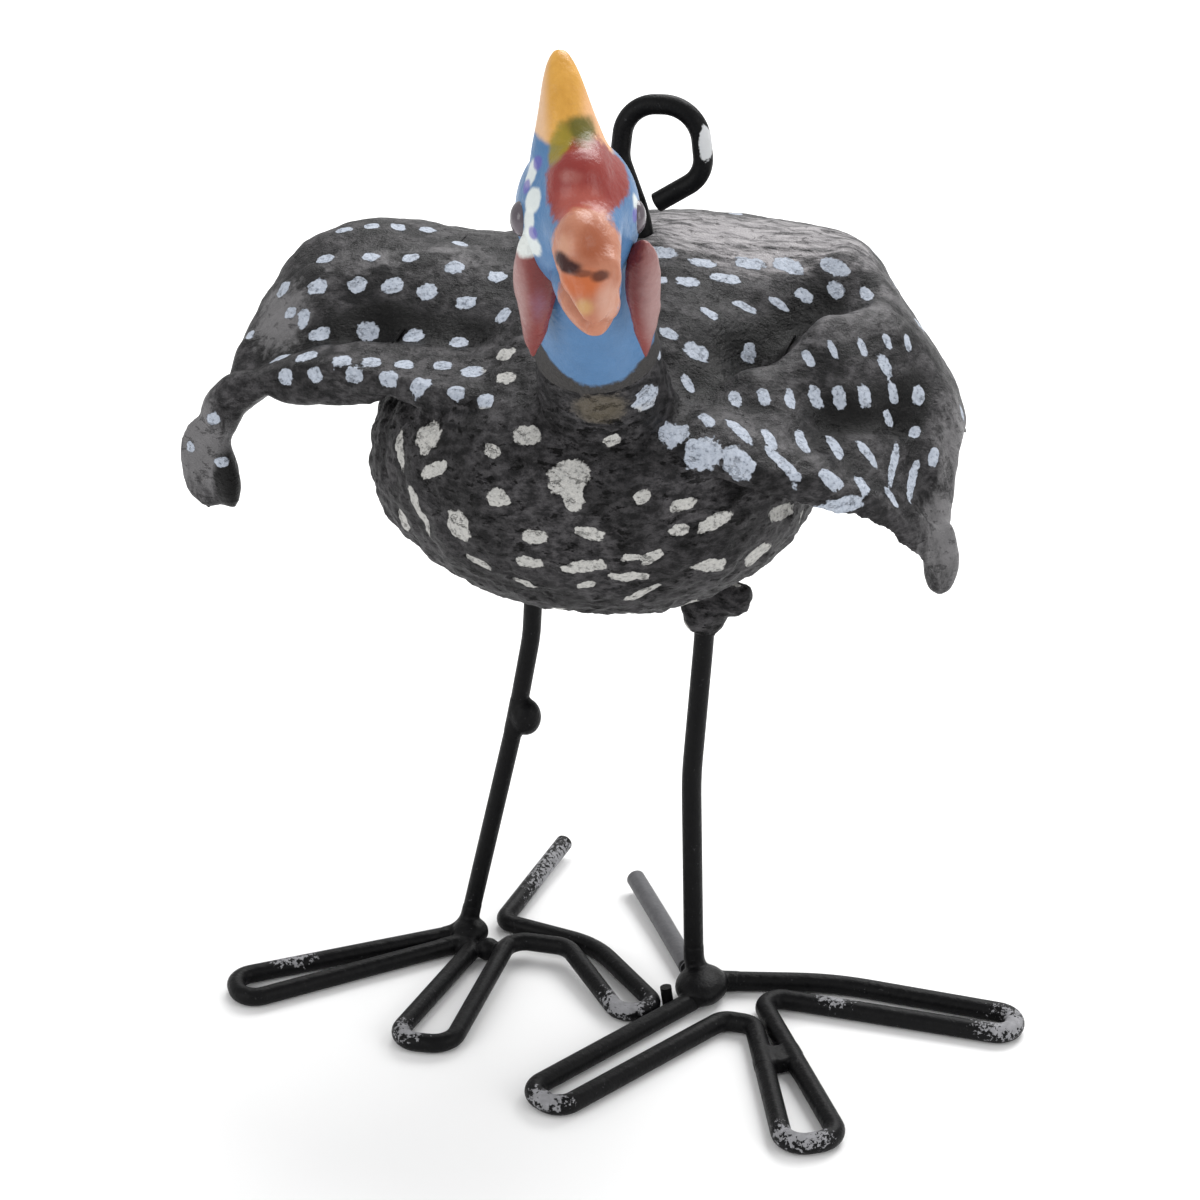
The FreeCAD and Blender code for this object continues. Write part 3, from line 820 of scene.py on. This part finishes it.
# A stroke is (colour, centre, half sizes, softness, strength), with lengths in mm.
BROW_STROKES_AND_HIGHLIGHTS = [
    ((0.21, 0.024, 0.020), (6.9, -54.6, 143.4), (4.9, 9.5, 5.6), 0.12, 1.0),
    ((0.22, 0.026, 0.020), (9.6, -51.5, 143.6), (2.6, 6.5, 4.6), 0.12, 1.0),
    ((0.085, 0.085, 0.006), (6.6, -50.6, 148.6), (3.8, 4.6, 1.7), 0.3, 0.95),
    ((0.24, 0.19, 0.014), (3.0, -51.4, 146.6), (1.5, 3.0, 2.8), 0.3, 0.9),
    # The next two strokes are painted highlights: pale pink where the light catches the brow
    # ridge.
    ((0.40, 0.10, 0.075), (7.6, -58.4, 141.4), (3.8, 3.4, 2.0), 0.5, 0.75),
    ((0.34, 0.12, 0.10), (5.6, -57.0, 144.2), (1.8, 2.0, 0.8), 0.5, 0.5),
]
BEAK_STROKES = [
    ((0.25, 0.055, 0.015), (10.4, -62.8, 138.0), (1.8, 3.0, 2.8), 0.6, 0.8),
    ((0.44, 0.10, 0.022), (9.8, -66.6, 133.9), (3.0, 2.6, 1.5), 0.6, 0.85),
    ((0.50, 0.33, 0.12), (10.4, -68.2, 131.4), (1.2, 1.6, 0.9), 0.6, 0.6),
    ((0.50, 0.28, 0.21), (13.0, -66.5, 132.0), (1.4, 2.4, 2.4), 0.5, 0.7),
    ((0.50, 0.27, 0.18), (6.6, -64.4, 137.6), (1.3, 2.4, 1.4), 0.5, 0.7),
    (MOUTH, (6.2, -65.0, 136.0), (1.7, 2.6, 0.9), 0.4, 1.0),
    (MOUTH, (7.8, -65.4, 135.5), (1.7, 2.6, 0.7), 0.4, 1.0),
    (MOUTH, (9.6, -65.8, 135.0), (1.5, 2.6, 0.4), 0.4, 0.6),
    (MOUTH, (11.8, -65.6, 134.7), (1.0, 2.6, 0.6), 0.4, 0.8),
]
CHEEK_STROKES = [
    (CHALK, (-1.2, -50.4, 142.6), (1.3, 1.6, 1.9), 0.2, 0.9),
    (CHALK, (-0.2, -53.2, 140.0), (1.9, 1.7, 1.7), 0.2, 0.9),
    (CHALK, (-0.6, -53.6, 137.2), (1.2, 1.4, 2.0), 0.2, 0.9),
    (CHALK, (-1.0, -53.6, 134.4), (2.8, 2.8, 1.8), 0.2, 0.9),
    (CHALK, (12.6, -47.4, 139.0), (1.0, 1.6, 3.6), 0.2, 0.9),
    (VIOLET, (-0.1, -50.7, 144.1), (0.9, 1.2, 0.9), 0.3, 0.8),
    (VIOLET, (-1.4, -50.6, 140.9), (0.9, 1.2, 0.9), 0.3, 0.8),
    (VIOLET, (0.2, -54.4, 136.0), (0.9, 1.2, 0.9), 0.3, 0.8),
    (VIOLET, (12.3, -48.6, 137.6), (0.9, 1.2, 0.9), 0.3, 0.8),
]


def horn_ochre(paint, side):
    """Ochre streaked along the horn, paler towards both of its edges."""
    shade = paint.noise(2.2, 3, stretch=(1, 1, 0.3), shift=4.0)
    ochre = paint.mix(shade, (0.42, 0.19, 0.020), (0.70, 0.38, 0.075))
    ochre = paint.mix(paint.ramp(0 - side, 0.6, 2.4) * 0.85, ochre, (0.64, 0.42, 0.27))
    return paint.mix(paint.ramp(side, 2.2, 3.6) * 0.7, ochre, (0.70, 0.40, 0.24))


def head_enamel():
    paint, waver, colour = enamel("enamel_blue", BLUE)
    x, y, z = (paint.node("ShaderNodeSeparateXYZ", None, {0: paint.place}, out=axis)
               for axis in range(3))
    horn = z + x * 0.28 + ((y + 50.5) * 0.9).at_most(0) + waver * 1.2
    ochre = horn_ochre(paint, x + z * 0.2 - 32.1)
    colour = paint.mix(paint.ramp(horn, 146.4, 147.4), colour, ochre)
    for stroke in BROW_STROKES_AND_HIGHLIGHTS:
        colour = patch(paint, waver, colour, *stroke)
    flesh = paint.mix(paint.noise(2.6, 3, shift=7.0), (0.30, 0.095, 0.050), (0.50, 0.225, 0.140))
    share = paint.ramp(paint.spot((9.4, -65.0, 134.6), (5.8, 9.5, 9.4)) + waver, -0.1, 0.1)
    colour = paint.mix(share, colour, flesh)
    for stroke in BEAK_STROKES + CHEEK_STROKES:
        colour = patch(paint, waver, colour, *stroke)

    # Bare black pulp shows under the blue, along an edge that sags in the middle of the throat.
    rim = paint.node("ShaderNodeVectorMath", {"operation": "DOT_PRODUCT"},
                     {0: paint.place, 1: NECK_LEAN}, out="Value")
    low = rim - (Vector(NECK_CUT).dot(Vector(NECK_LEAN))) - (x - 6.0).squared() * 0.075
    grit = paint.noise(0.45, 4, 0.6)
    bare = 1 - paint.ramp(low + waver * 4.0, 0.9, 1.9)
    black = paint.mix(grit, (0.006, 0.006, 0.006), (0.055, 0.050, 0.048))
    colour = paint.mix(bare, colour, black)
    soft = paint.noise(1.6, 3, shift=1.0)
    height = soft * 0.5 + grit * bare * 0.6
    return paint.surface(colour, 0.30 + 0.12 * soft + 0.2 * bare, height, 0.45,
                         Specular_IOR_Level=0.35)


def wattle_enamel(name, fold, sheen):
    """Red with painted shade along the fold on its inner side, a pale painted sheen, a violet
    painted sheen below the fold, and the head's strokes where they run over its root.
    """
    paint, waver, colour = enamel(name, (0.20, 0.034, 0.030))
    sheen_below_fold = (fold[0] - 1.4, fold[1], fold[2] - 4.5)
    # The first stroke is painted shade on the inner side, the second a pale painted sheen, the
    # third a violet painted sheen below the fold.
    for stroke in (((0.12, 0.012, 0.012), fold, (2.2, 5.0, 6.0), 0.5, 0.9),
                   ((0.34, 0.22, 0.21), sheen, (1.9, 4.0, 9.0), 0.6, 0.75),
                   ((0.22, 0.13, 0.21), sheen_below_fold, (1.5, 3.0, 3.4), 0.6, 0.7),
                   (CHALK, (-1.4, -54.0, 134.6), (3.2, 3.4, 2.2), 0.2, 0.95),
                   (BLUE, (2.6, -54.5, 136.4), (2.4, 3.4, 3.8), 0.2, 0.95)):
        colour = patch(paint, waver, colour, *stroke)
    return paint.surface(colour, 0.30 + 0.1 * paint.noise(1.2, 2), paint.noise(1.4, 3), 0.35,
                         Specular_IOR_Level=0.35)


finished(head_clay, head_enamel(), "paint_blue", "neck", "head", "casque", "forehead",
         "upper_beak", "lower_beak")
# For each wattle: the place of its painted fold shade, then the place of its pale painted sheen.
red_right = wattle_enamel("enamel_red_right", (1.8, -53.5, 128.5), (-3.2, -52.0, 126.0))
red_left = wattle_enamel("enamel_red_left", (11.4, -50.5, 128.0), (15.0, -47.5, 126.0))
finished(wattle_right, red_right, "paint_red", "wattle_right")
finished(wattle_left, red_left, "paint_red", "wattle_left")

# %% [markdown]
# Everything bent from wire keeps its frame node, because the bends and the foot loops are exact
# there. Only the paint is made here: satin black brushed on by hand, so it is a little lumpy,
# chipped to bare grey where the toes rub and splashed with white on the hanging eye.


# %% Wire paint
def wire_black(name, worn=(), chalk=0.0, splash=None):
    """Black wire paint, rubbed to grey inside the worn spots, with at most one white splash.

    A spot is (centre, half sizes) in mm, and chalk is how far the black has gone dull and grey.
    """
    coat = Finish(name)
    brush = coat.noise(1.3, 4, 0.6)
    fleck = coat.noise(0.7, 4, 0.7, shift=6.0)
    colour = coat.mix(brush, (0.0015, 0.0015, 0.0018), (0.006, 0.006, 0.0065))
    colour = coat.mix(coat.ramp(fleck, 0.64, 0.72) * 0.4, colour, (0.10, 0.10, 0.105))
    colour = coat.mix(chalk * (0.5 + 0.5 * brush), colour, (0.20, 0.20, 0.21))
    roughness = 0.30 + 0.20 * brush
    for centre, reach in worn:
        share = coat.spot(centre, reach).at_least(0) + (fleck - 0.5) * 2.6 - 0.42
        share = coat.ramp(share * coat.ramp(coat.spot(centre, reach), 0.0, 0.05), 0.05, 0.12)
        metal = coat.mix(brush, (0.12, 0.12, 0.125), (0.40, 0.40, 0.42))
        colour = coat.mix(share * 0.9, colour, metal)
        roughness = roughness + share * 0.12
    if splash:
        drop = coat.ramp(coat.spot(*splash) + (fleck - 0.5) * 0.5, 0.0, 0.12)
        colour = coat.mix(drop, colour, (0.56, 0.57, 0.58))
    return coat.surface(colour, roughness, brush * 0.6 + fleck * 0.4, 0.22,
                        Specular_IOR_Level=0.10)


def repaint(material, *names):
    for name in names:
        piece = NODES[name]
        piece.data.materials.clear()
        piece.data.materials.append(material)
    print(f"{material.name} on", ", ".join(names))


foot_right = wire_black("wire_black_right", (
    ((-50.0, -20.0, 4.0), (9.0, 5.0, 3.0)), ((-26.0, -35.0, 3.0), (4.5, 4.0, 3.0)),
    ((4.0, -20.5, 3.0), (6.5, 7.0, 3.0)), ((-18.0, 20.0, 1.0), (6.0, 16.0, 6.0))))
foot_left = wire_black("wire_black_left", (
    ((62.5, -11.5, 3.0), (7.5, 7.0, 3.0)), ((37.0, -48.0, 3.0), (7.0, 4.5, 3.0)),
    ((-1.0, -48.0, 3.0), (5.5, 4.0, 3.0)), ((36.0, -10.0, 3.0), (5.0, 4.0, 3.0))))
repaint(foot_right, "leg_right")
repaint(foot_left, "leg_left")
repaint(wire_black("wire_black_spur", chalk=0.75), "spur_left")
repaint(wire_black("wire_black_eye", splash=((8.9, 9.6, 131.6), (1.5, 3.2, 3.6))), "hanging_eye")
weld_paint = wire_black("wire_black_weld")
repaint(weld_paint, "wire_stub", "neck_wire")

# %% [markdown]
# The welds are beads that run a little way up each wire they hold. A ball alone looks dropped on,
# so each one is the frame's ball with the stretch of wire beside it, melted together as clay.


# %% Welds
SOLE = 0.01 * MM


def weld(node, wires, reach):
    """The node with the wire within reach of it, in mm, melted into one bead."""
    blob = NODES[node].data.vertices
    middle = sum((v.co for v in blob), Vector()) / len(blob)
    melted = clay_copy(node + "_bead", node, *wires)
    for axis in range(3):
        for side in (-1, 1):
            edge, outward = middle.copy(), Vector((0, 0, 0))
            edge[axis] += side * reach * MM
            outward[axis] = side
            cut(melted, edge / MM, outward, keep_above=False)
    apply(melted, "DISPLACE", strength=0.12 * MM, mid_level=0)
    apply(melted, "REMESH", mode="VOXEL", voxel_size=WELD_GRAIN)
    apply(melted, "SMOOTH", factor=0.5, iterations=40)
    # The floor under the foot keeps the underside flat.
    for vertex in melted.data.vertices:
        vertex.co.z = max(vertex.co.z, SOLE)
    finished(melted, weld_paint, "weld_black", node)


weld("knee_blob", ["leg_right"], 3.6)
weld("ankle_weld_right", ["leg_right"], 4.6)
weld("ankle_weld_left", ["leg_left", "spur_left"], 5.4)
weld("toe_weld_right", ["leg_right"], 3.4)
weld("toe_weld_left", ["leg_left"], 3.6)

# %% [markdown]
# Two last finishes. The eyes are glossy grey beads, flattened and set a little deeper than a full
# ball would be, so that they swell from the head. The paper core, which nobody sees unless the
# bird is cut open, is plain crumpled paper.


# %% Eyes and core
def bead_grey():
    paint = Finish("bead_grey")
    tone = paint.noise(2.2, 3)
    colour = paint.mix(tone, (0.030, 0.026, 0.034), (0.15, 0.12, 0.14))
    return paint.surface(colour, 0.12 + 0.1 * tone, tone, 0.1)


def crumpled_paper():
    sheet = Finish("crumpled_paper")
    fold = sheet.noise(6.0, 4)
    colour = sheet.mix(fold, (0.34, 0.31, 0.26), (0.62, 0.58, 0.50))
    return sheet.surface(colour, 0.85, fold, 0.8)


# In mm: how wide the bead is, half its thickness, and how much deeper it sits than the ball.
BEAD_WIDTH, BEAD_HALF, BEAD_SUNK = 4.6, 1.5, 1.2
bead_paint = bead_grey()
for node, side in (("eye_right", -1), ("eye_left", 1)):
    outward = side * Vector((0.946, 0.324, 0))
    ball = points_of(NODES[node]) / MM
    middle = Vector((ball.max(axis=0) + ball.min(axis=0)) / 2) - BEAD_SUNK * outward
    eye = pellet(middle - BEAD_HALF * outward, middle + BEAD_HALF * outward, BEAD_WIDTH)
    eye.name = node + "_bead"
    finished(eye, bead_paint, "paint_grey", node)
repaint(crumpled_paper(), "paper_core")

# %% [markdown]
# Last, the skin's four pieces get the black paint and stand for their frame nodes, and the sizes
# before and after are written down: the finished bird must still fill the same box.

# %% Hand over and measure
finished(right_skin, skin_paint, "pulp_black", "wing_right")
finished(left_skin, skin_paint, "pulp_black", "wing_left")
finished(tail_skin, skin_paint, "pulp_black", "tail")
finished(skin, skin_paint, "pulp_black", "torso", "collar_right", "collar_left", "pulp_lump")

finished_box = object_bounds()
grown = [round(1000 * (b - a), 2) for a, b in zip(FRAME_BOX[1] - FRAME_BOX[0],
                                                  finished_box[1] - finished_box[0])]
print(f"finished box differs from the frame's by {grown} mm")
